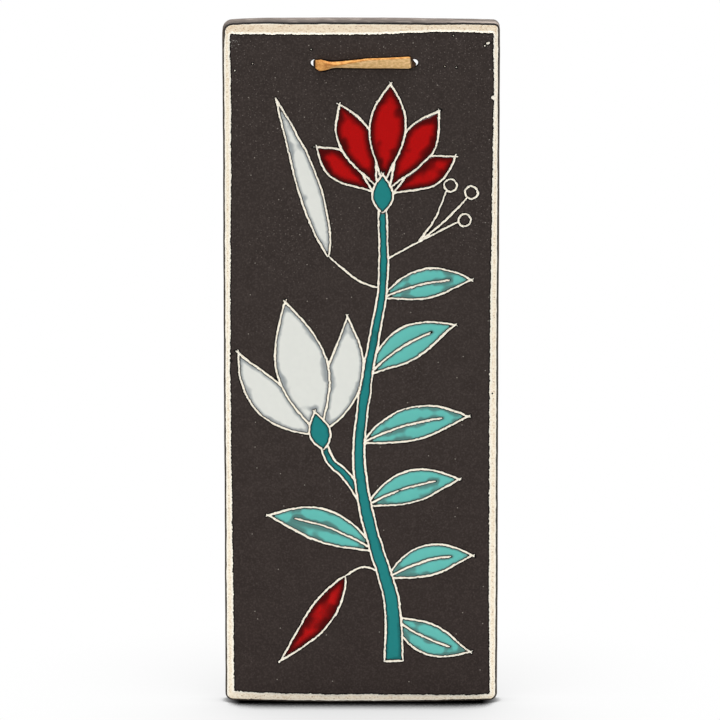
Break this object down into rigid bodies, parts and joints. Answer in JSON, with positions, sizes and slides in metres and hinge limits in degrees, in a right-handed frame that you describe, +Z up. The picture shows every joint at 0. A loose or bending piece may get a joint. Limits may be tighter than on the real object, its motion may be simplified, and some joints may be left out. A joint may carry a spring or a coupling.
{
  "type": "decorative wall plaque",
  "caption": "Tall ceramic wall plaque with a scraped and glazed plant picture, hung by a flat leather lace threaded through its top and tied behind.",
  "frame": {"origin": "on the plaque's flat back, on its centreline and level with the lace holes, where a nail under the lace holds it up", "axes": "+Z up the plaque's height, +X to the right as seen from the front, +Y backwards into the wall; the picture faces -Y"},
  "size_m": [0.118, 0.0217, 0.3],
  "materials": {
    "glazed_clay": "matt",
    "lace_leather": "matt"
  },
  "bodies": {
    "root": {"plaque": "glazed_clay", "hanging_lace": "lace_leather"}
  },
  "joints": []
}
